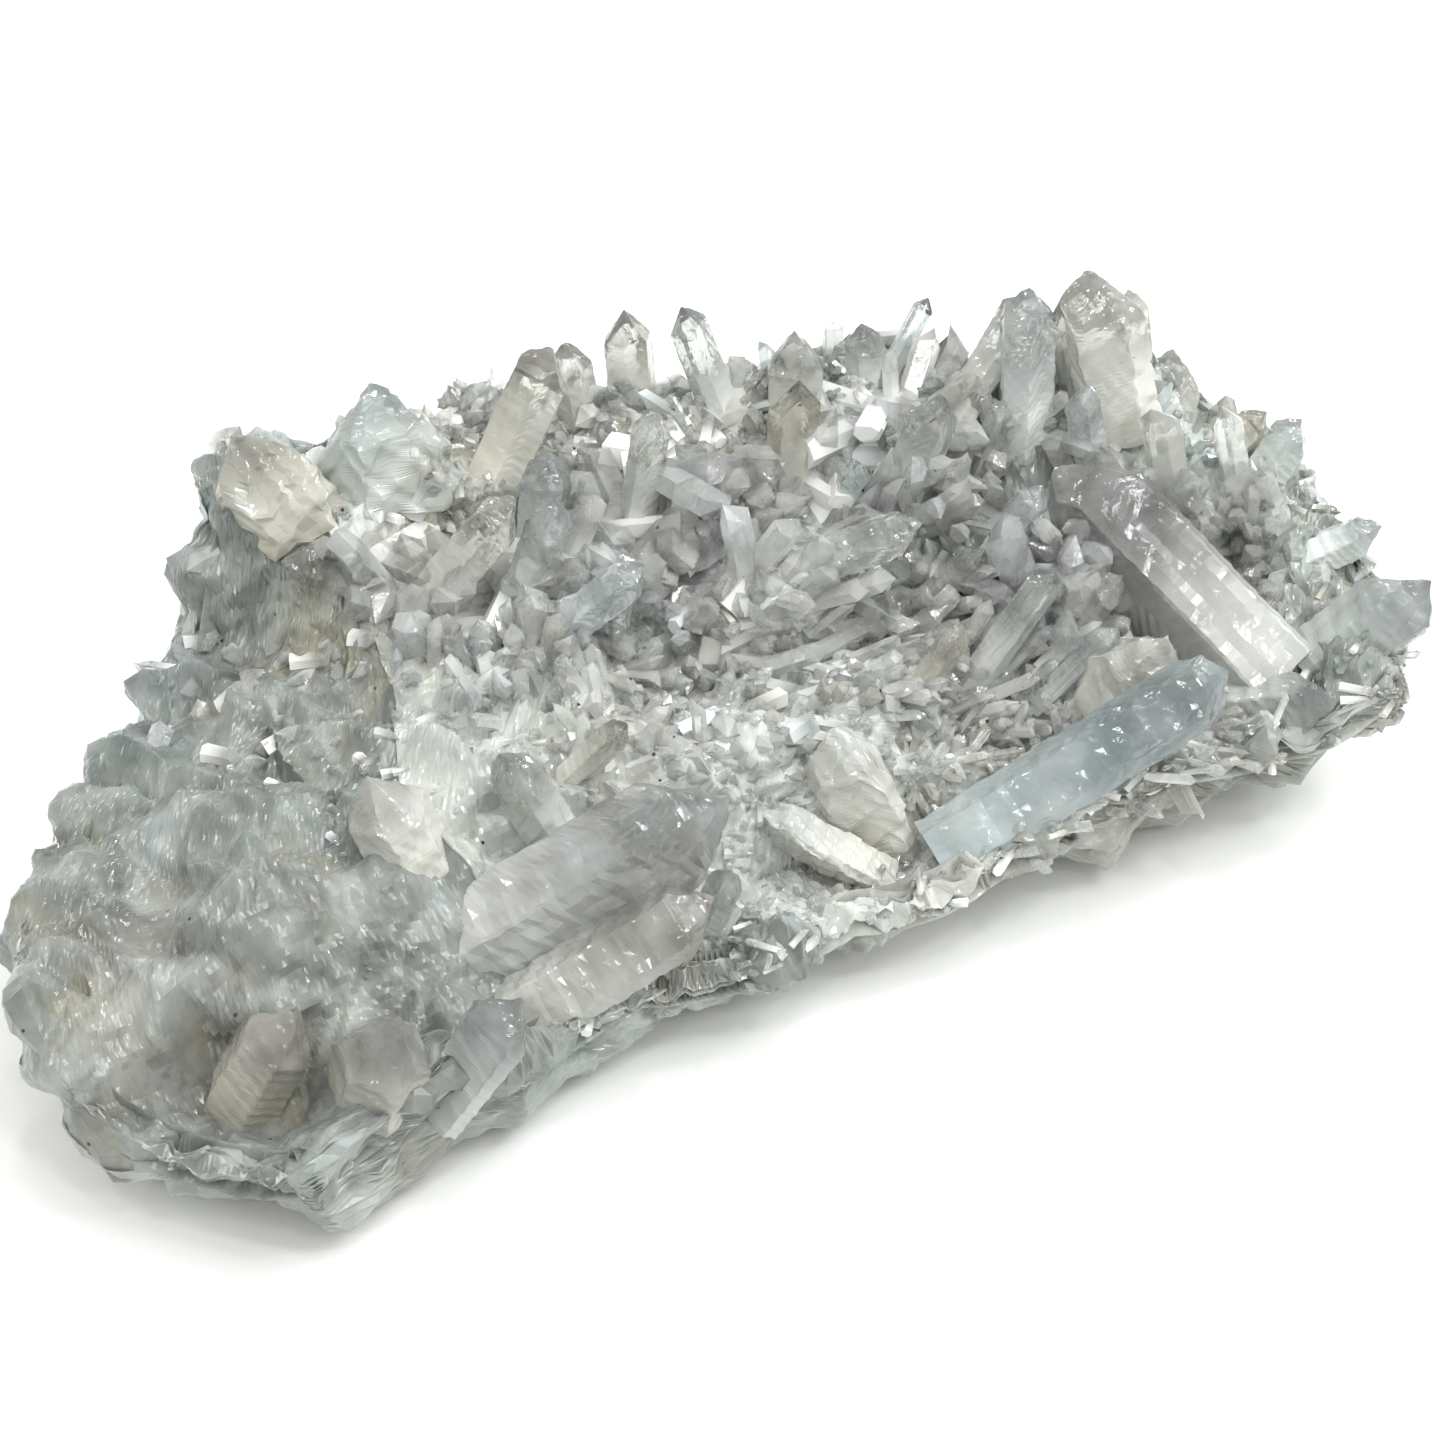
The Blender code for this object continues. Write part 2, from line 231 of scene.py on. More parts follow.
def fused_grains(points, spacing, steep, lift, seed):
    """How far a crust of intergrown grains stands out. Each grain is a blunt point with six faces of its
    own: its height less the steepness times the farthest way along any of its three axes, to either side.
    At every point the highest grain of the 27 near it is seen."""
    own = np.floor(points / spacing).astype(np.int64)
    highest = np.full(len(points), -np.inf)
    for step in np.ndindex(3, 3, 3):
        cube = own + np.array(step) - 1
        chance = cell_chances(cube, 13, seed)
        offset = points - (cube + chance[:, :3]) * spacing
        axes = chance[:, 3:12].reshape(-1, 3, 3) * 2 - 1
        axes /= np.linalg.norm(axes, axis=-1, keepdims=True)
        fall = np.abs((axes * offset[:, None]).sum(-1)).max(-1)
        highest = np.maximum(highest, chance[:, 12] * lift - steep * fall)
    return highest - highest.mean()


def wander(points, reach, size):
    """Moves each point by up to about the reach along smooth waves of that size, so that what is read
    there has curved outlines: three sines of mixed directions for each axis."""
    ways = np.array([[1.0, 0.6, -0.4], [-0.5, 1.0, 0.7], [0.6, -0.7, 1.0]]) * 2 * math.pi / size
    phase = points @ ways.T
    waves = np.sin(phase) + 0.6 * np.sin(1.9 * phase[:, [1, 2, 0]] + 1.3)
    return points + reach * waves


def slab_surface(angle, height):
    """Where a point of the unit ball goes: its upper cap to the terraces, its belt to the side wall, and
    its lower cap to the underside, flat in the middle and curving up to its edge."""
    share = np.sqrt(np.clip((1 - np.abs(height)) / (1 - WALL_BAND), 0, 1))
    up_wall = np.clip((height + WALL_BAND) / (2 * WALL_BAND), 0, 1)
    reach = around_plan(angle, None) * share * (1 - UNDERCUT * (1 - up_wall) ** 1.5)
    x = PLAN_CENTRE[0] + reach * np.cos(angle)
    y = PLAN_CENTRE[1] + reach * np.sin(angle)
    top = terrace_height(x, y)
    climb = np.clip((share - FOOT_SHARE) / (1 - FOOT_SHARE), 0, 1)
    under = around_plan(angle, 2) * climb**1.6
    return np.stack([x, y, under + (top - under) * up_wall], -1)


def disc_grid(across, up):
    """A square grid of points pressed into the unit disc: x becomes x·sqrt(1 - y²/2), and y likewise. Its
    lines, given from 0 to 1, are closer together at the near end, whose rock lies bare."""
    u, v = np.meshgrid(2 * across**1.2 - 1, 2 * up - 1)
    return u * np.sqrt(1 - v * v / 2), v * np.sqrt(1 - u * u / 2)


def grid_normals(points):
    """The unit normals of a grid of points: the cross product of its two directions."""
    along, across = np.gradient(points, axis=1), np.gradient(points, axis=0)
    normal = np.cross(along, across)
    return normal / np.maximum(np.linalg.norm(normal, axis=-1, keepdims=True), 1e-9)


def grid_quads(rows, columns):
    """The corners of each square of a grid, counted row by row."""
    first = (np.arange(rows - 1)[:, None] * columns + np.arange(columns - 1)).ravel()
    return np.stack([first, first + 1, first + columns + 1, first + columns], 1)


def add_piece(name, points, polygons, finish, columns=None):
    """Makes a piece from its points in millimetres and arrays of its polygons' corners; the columns are
    numbers kept at each point for the finish to read. The piece rides with the cluster."""
    mesh = bpy.data.meshes.new(name)
    mesh.vertices.add(len(points))
    mesh.vertices.foreach_set("co", (points * MM).astype(np.float32).ravel())
    corners = np.concatenate([array.ravel() for array in polygons])
    sides = np.concatenate([np.full(len(array), array.shape[1]) for array in polygons])
    mesh.loops.add(len(corners))
    mesh.loops.foreach_set("vertex_index", corners.astype(np.int32))
    mesh.polygons.add(len(sides))
    mesh.polygons.foreach_set("loop_start", (np.cumsum(sides) - sides).astype(np.int32))
    mesh.update(calc_edges=True)
    mesh.shade_flat()
    for key, values in (columns or {}).items():
        mesh.attributes.new(key, "FLOAT", "POINT").data.foreach_set("value", values.astype(np.float32))
    mesh.materials.append(finish)
    piece = bpy.data.objects.new(name, mesh)
    bpy.context.collection.objects.link(piece)
    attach(piece, "root")
    return piece


def quartz_finish(name, cool, warm, painted_shade, clearness, roughness, milk_most, milk_colour, glow=0.0):
    """Quartz is silica, glassy where it grew freely and white where tiny bubbles of fluid cloud it. The
    milk, the tints and the painted shade in the roots and the cracks are clouds of noise in the piece's own
    millimetres; the shade is an olive brown, painted where the tip is low. Clearness is the most light that
    passes through a point, and roughness the lowest and the highest."""
    finish, tree, output = new_finish(name)
    place = add_node(tree, "ShaderNodeTexCoord").outputs["Object"]
    tip = add_node(tree, "ShaderNodeAttribute", attribute_name="tip").outputs["Fac"]
    tint = add_node(tree, "ShaderNodeAttribute", attribute_name="tint").outputs["Fac"]
    # the tints change over about 40 mm, and from crystal to crystal
    swells = {"Vector": place, "Scale": per_metre(40), "Detail": 2.0}
    broad = add_node(tree, "ShaderNodeTexNoise", swells).outputs[0]
    mixed = add_node(tree, "ShaderNodeMath", {0: broad, 1: tint}, operation="ADD").outputs[0]
    share = add_node(tree, "ShaderNodeMapRange", {"Value": mixed, "From Min": 0.55, "From Max": 1.45})
    colour = add_node(
        tree, "ShaderNodeMix", {0: share.outputs[0], 6: linear(cool), 7: linear(warm)}, data_type="RGBA"
    ).outputs[2]
    # the milk: veils about 8 mm across
    veils = {"Vector": place, "Scale": per_metre(8.3), "Detail": 5.0}
    veil = add_node(tree, "ShaderNodeTexNoise", veils).outputs[0]
    milk = add_node(
        tree, "ShaderNodeMapRange", {"Value": veil, "From Min": 0.35, "From Max": 0.75, "To Max": milk_most}
    ).outputs[0]
    cloud = add_node(tree, "ShaderNodeAttribute", attribute_name="cloud").outputs["Fac"]
    milk = add_node(tree, "ShaderNodeMath", {0: milk, 1: cloud}, operation="ADD", use_clamp=True).outputs[0]
    colour = add_node(
        tree, "ShaderNodeMix", {0: milk, 6: colour, 7: linear(milk_colour)}, data_type="RGBA"
    ).outputs[2]
    # painted shade, an olive brown, lies in the roots and the cracks, in patches about 14 mm across
    patches = {"Vector": place, "Scale": per_metre(14.3), "Detail": 3.0}
    patch = add_node(tree, "ShaderNodeTexNoise", patches).outputs[0]
    patch = add_node(
        tree, "ShaderNodeMapRange", {"Value": patch, "From Min": 0.35, "From Max": 0.65}
    ).outputs[0]
    root = add_node(
        tree, "ShaderNodeMapRange", {"Value": tip, "From Max": 0.45, "To Min": 1.0, "To Max": 0.0}
    ).outputs[0]
    shade_share = add_node(tree, "ShaderNodeMath", {0: root, 1: patch}, operation="MULTIPLY").outputs[0]
    shade_share = add_node(tree, "ShaderNodeMath", {0: shade_share, 1: painted_shade}, operation="MULTIPLY").outputs[0]
    colour = add_node(
        tree, "ShaderNodeMix", {0: shade_share, 6: colour, 7: linear(PAINTED_SHADE_COLOUR)}, data_type="RGBA"
    ).outputs[2]
    # a few black specks of ore, under a millimetre across, in cells of 2.4 mm
    grain = add_node(tree, "ShaderNodeTexVoronoi", {"Vector": place, "Scale": per_metre(2.4)})
    speck = add_node(tree, "ShaderNodeMath", {0: grain.outputs["Distance"], 1: 0.14}, operation="LESS_THAN")
    rare = add_node(tree, "ShaderNodeSeparateColor", {0: grain.outputs["Color"]})
    rare = add_node(tree, "ShaderNodeMath", {0: rare.outputs[0], 1: 0.975}, operation="GREATER_THAN")
    speck = add_node(tree, "ShaderNodeMath", {0: speck.outputs[0], 1: rare.outputs[0]}, operation="MULTIPLY")
    colour = add_node(
        tree, "ShaderNodeMix", {0: speck.outputs[0], 6: colour, 7: linear(ORE_COLOUR)}, data_type="RGBA"
    ).outputs[2]
    # clear towards the point, except through the milk
    free = add_node(
        tree, "ShaderNodeMapRange", {"Value": tip, "From Min": 0.0, "From Max": 0.6, "To Max": clearness}
    ).outputs[0]
    gap = add_node(tree, "ShaderNodeMath", {0: 1.0, 1: milk}, operation="SUBTRACT").outputs[0]
    clear = add_node(tree, "ShaderNodeMath", {0: free, 1: gap}, operation="MULTIPLY").outputs[0]
    # growth steps and etching, drawn 1.1 mm apart so that they show; the real ones are finer
    steps = {"Vector": place, "Scale": per_metre(1.1), "Detail": 4.0, "Distortion": 0.6}
    etch = add_node(tree, "ShaderNodeTexNoise", steps).outputs[0]
    rough = add_node(
        tree, "ShaderNodeMapRange", {"Value": veil, "To Min": roughness[0], "To Max": roughness[1]}
    ).outputs[0]
    relief = {"Height": etch, "Strength": 0.5, "Distance": 0.1 * MM}
    bump = add_node(tree, "ShaderNodeBump", relief).outputs[0]
    shader = add_node(
        tree,
        "ShaderNodeBsdfPrincipled",
        {
            "Base Color": colour,
            "Roughness": rough,
            "Normal": bump,
            "Transmission Weight": clear,
            "IOR": QUARTZ_IOR,
            "Subsurface Weight": glow,
            "Subsurface Radius": (1.0, 1.0, 0.95),
            "Subsurface Scale": 1.5 * MM,
        },
    )
    tree.links.new(shader.outputs[0], output.inputs[0])
    return finish


def rock_relief(points):
    """How far the rock stands out at each point, and how high that is among its neighbours, from 0 in a
    crack to 1 on a grain: grains 21, 8, 2.8 and 1.2 mm wide, the finer ones on the coarser."""
    bent = wander(points, 0.7, 23.0)
    middle = np.clip((points[:, 0] + 62) / 24, 0, 1)
    coarse = fused_grains(bent, *COARSE_GRAINS)
    fine = fused_grains(bent, *MEDIUM_GRAINS)
    fine += (0.45 + 0.8 * middle) * fused_grains(bent, *SMALL_GRAINS)
    fine += 0.7 * fused_grains(bent, *FINEST_GRAINS)
    calm = np.clip(points[:, 2] / 8.0, 0, 1)
    return (coarse + fine + 0.8 - DRUSE_ROOM * middle) * calm, np.clip(0.5 + fine / 2.6, 0, 1)


def make_rock():
    """The slab's two grids, above and below, share their rim. Each point moves along the surface's normal
    by the relief, which is calm on the underside."""
    x, y = disc_grid(np.linspace(0, 1, SLAB_GRID), np.linspace(0, 1, SLAB_GRID))
    angle, reach = np.arctan2(y, x), np.clip(np.hypot(x, y), 0, 1)
    above = slab_surface(angle, 1 - reach**2)
    below = slab_surface(angle, reach**2 - 1)
    normals = np.stack([grid_normals(above), -grid_normals(below)])
    points = np.stack([above, below])
    rim = (np.arange(SLAB_GRID) % (SLAB_GRID - 1)) == 0
    on_rim = rim[:, None] | rim[None, :]
    outward = np.stack([np.cos(angle), np.sin(angle), np.zeros_like(angle)], -1)
    normals[:, on_rim] = outward[on_rim]
    flat = points.reshape(-1, 3)
    relief, _ = rock_relief(flat)
    moved = flat + normals.reshape(-1, 3) * relief[:, None]
    top = moved.reshape(2, SLAB_GRID, SLAB_GRID, 3)[0]
    sink = np.repeat([CRUST_SINK, 0], SLAB_GRID**2) * ~np.tile(on_rim.ravel(), 2)
    sunk = moved - normals.reshape(-1, 3) * sink[:, None]
    return top, grid_normals(top), sunk, on_rim


rock_top, rock_normals, rock_points, rock_rim = make_rock()


def make_slab():
    """Both grids as one closed surface: the lower one takes the upper one's points along their rim."""
    count = SLAB_GRID**2
    quads = grid_quads(SLAB_GRID, SLAB_GRID)
    numbers = np.arange(2 * count)
    rim = np.flatnonzero(rock_rim.ravel())
    numbers[rim + count] = rim
    under = numbers[quads[:, ::-1] + count]
    used, packed = np.unique(np.concatenate([quads, under]), return_inverse=True)
    points = rock_points[used]
    packed = packed.reshape(-1, 4)
    # the lower a point lies under the terraces, the lower its tip: painted shade in the hollows, and less
    # clear
    low = 1 - np.clip((terrace_height(points[:, 0], points[:, 1]) - points[:, 2]) / 3.0, 0, 1)
    # massive vein quartz, broken: grey-green milk that glows a little, waxy where it is worn
    finish = quartz_finish(
        "massive_vein_quartz", "#9dacaa", "#a59e8f", painted_shade=0.5, clearness=0.4, roughness=(0.06, 0.35),
        milk_most=0.5, milk_colour="#d9dfdd", glow=0.4,
    )
    columns = {"tip": 0.4 + 0.5 * low, "tint": np.full(len(points), 0.5)}
    piece = add_piece("massive_slab", points, [packed], finish, columns)
    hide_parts("quartz_slab")


make_slab()


def blob(x, y, middle, reach):
    """A soft round patch of the plan: 1 in its middle and under a half past its reach."""
    return np.exp(-(((x - middle[0]) ** 2 + (y - middle[1]) ** 2) / (reach**2)))


def sheet_polygons(rows, columns):
    """The squares of a closed sheet: its upper grid, its lower grid, and the wall between their edges."""
    upper = grid_quads(rows, columns)
    number = np.arange(rows * columns).reshape(rows, columns)
    edge = np.concatenate([number[0, :-1], number[:-1, -1], number[-1, :0:-1], number[:0:-1, 0]])
    following, below = np.roll(edge, -1), rows * columns
    wall = np.stack([edge, edge + below, following + below, following], 1)
    return [upper, upper[:, ::-1] + below, wall]


def make_crust(name, start, stop, finish):
    """Part of the slab's top, from start to stop of its length, as a thick sheet with finer relief."""
    rows, columns = CRUST_GRID
    x, y = disc_grid(np.linspace(start, stop, columns), np.linspace(0, 1, rows))
    angle, reach = np.arctan2(y, x), np.clip(np.hypot(x, y), 0, 1)
    base = slab_surface(angle, 1 - reach**2)
    normals = grid_normals(base).reshape(-1, 3)
    flat = base.reshape(-1, 3)
    relief, high = rock_relief(flat)
    upper = flat + normals * relief[:, None]
    lower = flat - normals * CRUST_DEPTH
    x, y = flat[:, 0], flat[:, 1]
    cloud = 0.55 * sum(blob(x, y, middle, reach) for middle, reach in MILKY_SPOTS)
    # the tip is low in the cracks between grains and at the spots of painted shade: there the crust gets
    # olive painted shade and is less clear
    high = np.clip(high - sum(blob(x, y, middle, reach) for middle, reach in PAINTED_SHADE_SPOTS), 0, 1)
    columns_kept = {"tip": np.tile(high, 2), "tint": np.full(2 * len(flat), 0.5), "cloud": np.tile(cloud, 2)}
    polygons = sheet_polygons(rows, columns)
    add_piece(name, np.concatenate([upper, lower]), polygons, finish, columns_kept)


# three crusts of one rock: the near end is darkest and has the most painted shade in its cracks, the middle
# white, the rim between them
end_finish = quartz_finish(
    "broken_vein_quartz", "#889795", "#938d80", painted_shade=0.6, clearness=0.5, roughness=(0.05, 0.3),
    milk_most=0.55, milk_colour="#c3cac9", glow=0.4,
)
crust_finish = quartz_finish(
    "fused_grain_quartz", "#c6d1cf", "#cbc5b6", painted_shade=0.4, clearness=0.5, roughness=(0.02, 0.2),
    milk_most=0.5, milk_colour="#eef1ef", glow=0.4,
)
far_finish = quartz_finish(
    "rim_vein_quartz", "#a3b1af", "#aaa596", painted_shade=0.4, clearness=0.5, roughness=(0.02, 0.2),
    milk_most=0.5, milk_colour="#d3d9d7", glow=0.4,
)
make_crust("crust_near_end", 0.0, 0.35, end_finish)
make_crust("crust_middle", 0.34, 0.68, crust_finish)
make_crust("crust_far_end", 0.67, 1.0, far_finish)


# ---- The large crystals ------------------------------------------------------------------------------
# Rock crystal: six-sided prisms that end in the six faces of a quartz point, three of them larger. They
# grew out of the slab, so their feet are in it and milky, and they clear towards the point. Growth lines
# and shallow waves cross their faces. Each one stands where its solid stands, and replaces it.

SEAT_DEPTH = 9.0  # how far a foot goes down into the rock
FACE_SLOPE = math.radians(51.8)  # between the long axis and the normal of a face of the point
FACE_SPREAD = 0.16  # how unequal the six sides are, as a share of the half width
POINT_SPREAD = 0.30  # how far a face of the point may be set back, as a share of the width
MAIN_FACE_SHARE = 0.25  # every other face is set back only by this share of that
SPIN_STEP = 7.0  # degrees about its own axis for each millimetre of width, so that no two match
SIDE_FRACTIONS = np.array([0.035, 0.22, 0.41, 0.59, 0.78, 0.965])  # across a side; the gaps are its bevels
SIDE_RINGS = 34  # rings of points up the sides
POINT_RINGS = 14  # rings up the point
STRIATION = 0.003  # the depth of the growth lines, as a share of the width

# Each row is a name, the foot's x and y, the direction it leans in, its lean from upright, the length
# that stands out of the rock, its width, and its thickness as a share of the width.
CRYSTALS = [
    # along the back, against the sky
    ("back_clear_prism", -2, 62, -5, 30, 21, 11, 0.8),
    ("back_stub_left", 18, 69, 100, 10, 12, 9, 0.8),
    ("back_broad_point", 28, 66, 80, 10, 15, 11, 0.6),
    ("back_tall_blade", 36, 50, 130, 20, 20, 8, 0.7),
    ("back_chisel_block", 50, 47, 60, 12, 12, 12, 0.7),
    ("back_grey_post", 41, 36, 20, 5, 20, 8, 1.0),
    ("back_ragged_stub", 61, 41, 80, 8, 10, 8, 0.7),
    ("back_slim_needle", 69, 43, 0, 35, 13, 4, 0.7),
    ("back_slim_companion", 74, 34, 40, 15, 8, 7, 0.8),
    # the peak at the far end
    ("peak_main_prism", 92, 12, 120, 14, 22, 15, 0.8),
    ("peak_left_prism", 80, 20, 60, 6, 21, 12, 0.7),
    ("peak_ramp", 72, 27, 10, 48, 24, 10, 0.6),
    ("peak_right_spur", 101, 14, 80, 18, 16, 7, 0.8),
    ("peak_front_chip", 84, 6, 170, 14, 16, 7, 0.6),
    # the far end and its rim
    ("great_leaning_prism", 84, -31, 107, 58, 43, 19, 0.5),
    ("rim_north_block", 110, 16, 30, 18, 13, 13, 0.8),
    ("rim_east_block", 117, -4, -10, 34, 12, 9, 0.8),
    ("rim_smoky_point", 112, -26, -35, 62, 9, 8, 0.9),
    ("rim_sparkle_point", 121, 8, -20, 50, 8, 6, 0.9),
    ("right_end_block", 100, -44, -35, 44, 15, 14, 0.7),
    ("right_end_lower", 82, -42, -55, 70, 12, 11, 0.7),
    # the slope below the peak
    ("grey_round_prism", 53, 20, -20, 18, 20, 8, 0.9),
    ("slim_blade", 66, 18, -10, 22, 18, 6, 0.5),
    ("small_post", 45, 25, -90, 8, 10, 5, 1.0),
    ("beige_hex", 72, -6, -20, 18, 13, 8, 0.9),
    ("lavender_prism", 62, -13, -35, 35, 15, 8, 0.8),
    ("bright_wedge", 79, -17, -50, 45, 11, 7, 0.7),
    ("broad_dome", 60, -30, -60, 22, 16, 15, 0.9),
    ("radiating_long", 45, -12, -30, 30, 22, 6, 0.8),
    ("radiating_beige", 52, -20, -35, 38, 18, 5, 0.8),
    ("radiating_left", 33, -10, -40, 28, 14, 5, 0.8),
    ("radiating_upper", 58, 2, -30, 30, 16, 6, 0.8),
    ("radiating_middle", 48, 6, -45, 40, 14, 6, 0.8),
    ("flat_pale_prism", 27, 18, -40, 64, 24, 9, 0.6),
    ("glinting_prism", 34, 8, -55, 48, 12, 6, 0.8),
    # the middle and the left
    ("centre_striped_prism", 14, 44, 0, 12, 20, 7, 0.8),
    ("left_blocky_prism", -2, 50, 20, 12, 16, 9, 0.8),
    ("left_beige_prism", -12, 40, -20, 20, 18, 9, 0.7),
    ("left_glossy_prism", -26, 50, -22, 44, 24, 10, 0.7),
    ("left_bright_tablet", -32, 54, 158, 62, 17, 9, 0.5),
    ("centre_left_blade", -15, 28, -30, 50, 21, 9, 0.6),
    ("block_top_prism", -22, 68, 60, 14, 12, 20, 0.7),
    ("block_end_prism", -42, 72, 140, 24, 10, 19, 0.8),
    # along the front
    ("great_front_prism", -53, -15, -22, 62, 40, 17, 0.75),
    ("front_twin_prism", -50, -28, -20, 62, 26, 12, 0.8),
    ("glassy_tablet", -37, -8, 125, 32, 17, 11, 0.5),
    ("glassy_tablet_companion", -28, 0, -45, 40, 12, 6, 0.7),
    ("oval_chip", -22, -26, -40, 20, 11, 8, 0.4),
    ("round_pale_prism", -60, 0, 150, 20, 12, 12, 0.9),
    ("lower_right_blade", 25, -36, -18, 63, 46, 12, 0.7),
    ("white_block", 14, -20, 150, 18, 18, 15, 0.6),
    ("front_beige_point", -97, -19, -40, 28, 14, 12, 0.8),
    ("front_arch_prism", -84, -32, -60, 16, 13, 15, 0.7),
    ("front_corner_prism", -70, -35, -25, 36, 13, 11, 0.8),
    ("white_ledge", 5, -25, 140, 58, 14, 10, 0.6),
]
CLEAREST = {  # how clear some crystals are at their points, from 0 to 1
    "back": 1.0, "peak": 0.9, "rim": 0.9, "right": 0.75, "great": 0.8, "front": 0.7,
    "left": 0.95, "block": 0.55, "white": 0.5, "lower": 0.8, "round": 0.7, "broad": 0.7,
}
CLEAR = 0.95  # how clear the others are
UNEVEN = {"block": 0.026, "white": 0.024, "broad": 0.018, "back": 0.006}  # waves, as a share of the width
EVEN = 0.012  # the waves of the others
WAVE_LENGTH = 0.4  # how far apart the waves are, as a share of the width
COLOURLESS = ("#dfe7e7", "#dfdacd")
TINTS = {  # the cool and the warm tint of some of them; the others are nearly colourless
    # the great crystals' lavender grey is their own; how dark their tints are is painted shade
    "great": ("#afb5b8", "#afaea8"), "front": ("#a9b0af", "#a9a496"), "lower": ("#98a6a8", "#9da29e"),
    "block": ("#b4bfbd", "#aea797"), "white": ("#dfe6e3", "#dad7cc"), "right": ("#a9b5b5", "#aba79c"),
}


def point_planes(width, length, thickness, unequal, setback):
    """The directions and distances of the six sides and the six faces of the point. A side's distance is
    half the width, squeezed along one axis; a face of the point leans back by the face slope."""
    turn = np.radians(60 * np.arange(6))
    across = np.stack([np.cos(turn), np.sin(turn)], 1)
    apothem = width / 2 * np.hypot(across[:, 0], across[:, 1] * thickness) * (1 + unequal)
    meets_axis = length + setback * width
    return across, apothem, meets_axis


def point_apex(across, meets_axis):
    """The highest spot inside all six faces of the point: of the spots where three of them meet, the one
    that no other face cuts off."""
    normals = np.concatenate([across * math.sin(FACE_SLOPE), np.full((6, 1), math.cos(FACE_SLOPE))], 1)
    reach = meets_axis * math.cos(FACE_SLOPE)
    trios = np.array([(a, b, c) for a in range(6) for b in range(a + 1, 6) for c in range(b + 1, 6)])
    spots = np.linalg.solve(normals[trios], reach[trios][..., None])[..., 0]
    inside = (spots @ normals.T <= reach + 1e-6).all(1)
    return spots[inside][spots[inside][:, 2].argmax()]


def crystal_surface(width, length, thickness, number):
    """A crystal along +Z as a grid: each column runs up one line of a side, from the foot to the shoulder
    and over the point to the apex. At each height the surface lies where a ray from the crystal's middle
    line, which bends to the apex, first meets one of the planes. Growth lines sink each ring a little."""
    chance = np.random.default_rng(number)
    unequal = chance.uniform(-FACE_SPREAD, FACE_SPREAD, 6)
    setback = chance.uniform(0, POINT_SPREAD, 6) * np.tile([MAIN_FACE_SHARE, 1.0], 3)
    across, apothem, meets_axis = point_planes(width, length, thickness, unequal, setback)
    apex = point_apex(across, meets_axis)
    following = np.roll(np.arange(6), -1)
    pairs = np.stack([across, across[following]], 1)
    corners = np.linalg.solve(pairs, np.stack([apothem, apothem[following]], 1)[..., None])[..., 0]
    before = np.roll(corners, 1, axis=0)
    base = before[:, None] + (corners - before)[:, None] * SIDE_FRACTIONS[None, :, None]
    base = base.reshape(-1, 2)
    side = np.repeat(np.arange(6), len(SIDE_FRACTIONS))
    heading = base / np.linalg.norm(base, axis=1, keepdims=True)
    facing = np.maximum(heading @ across.T, 1e-4)

    def reach_at(height):
        """How far the sides and the point's faces are along each column's heading, at those heights."""
        middle = apex[:2] * np.clip(height / apex[2], 0, 1)[..., None]
        shift = middle @ across.T
        flank = np.where(facing > 0.01, (apothem - shift) / facing, np.inf).min(-1)
        slant = (meets_axis - height[..., None]) / math.tan(FACE_SLOPE)
        point = np.where(facing > 0.01, (slant - shift) / facing, np.inf).min(-1)
        return flank, point, middle

    trial = np.linspace(0, apex[2], 300)[:, None] * np.ones(len(base))
    flank, point, _ = reach_at(trial)
    shoulder = trial[(point < flank).argmax(0), np.arange(len(base))]
    rise = np.linspace(0, 1, SIDE_RINGS)[:, None] ** 0.9
    lower = -SEAT_DEPTH + (shoulder - 0.02 * width + SEAT_DEPTH) * rise
    climb = np.linspace(0.03, 0.992, POINT_RINGS)[:, None]
    upper = shoulder + (apex[2] - shoulder) * climb
    height = np.concatenate([lower, upper])
    flank, point, middle = reach_at(height)
    radius = np.minimum(flank, point)
    points = np.concatenate([middle + heading * radius[..., None], height[..., None]], -1)
    lines = chance.uniform(0, 1, (SIDE_RINGS + POINT_RINGS, 6)) ** 2 * STRIATION * width
    lines[SIDE_RINGS:] *= 0.35
    points[..., :2] -= across[side] * lines[:, side][..., None]
    return points, np.clip(height / apex[2], 0, 1)


def stand_up(points, x, y, direction, lean, width):
    """Leans a crystal that stands along +Z: turned about its own axis, tipped from upright towards its
    direction, and set on the rock at its foot."""
    spin = math.radians(-direction + SPIN_STEP * width)
    tip, turn = math.radians(lean), math.radians(direction)
    spun = np.array([[math.cos(spin), -math.sin(spin), 0], [math.sin(spin), math.cos(spin), 0], [0, 0, 1]])
    tipped = np.array([[math.cos(tip), 0, math.sin(tip)], [0, 1, 0], [-math.sin(tip), 0, math.cos(tip)]])
    turned = np.array([[math.cos(turn), -math.sin(turn), 0], [math.sin(turn), math.cos(turn), 0], [0, 0, 1]])
    foot = np.array([x, y, float(terrace_height(x, y))])
    return points @ (turned @ tipped @ spun).T + foot


def tube_polygons(rings, columns):
    """The squares of a closed tube, counted ring by ring, and its two end caps."""
    ring, column = np.meshgrid(np.arange(rings - 1), np.arange(columns), indexing="ij")
    here, beside = ring * columns + column, ring * columns + (column + 1) % columns
    quads = np.stack([here, beside, beside + columns, here + columns], -1).reshape(-1, 4)
    first, last = np.arange(columns)[::-1][None], (np.arange(columns) + (rings - 1) * columns)[None]
    return [quads, first, last]


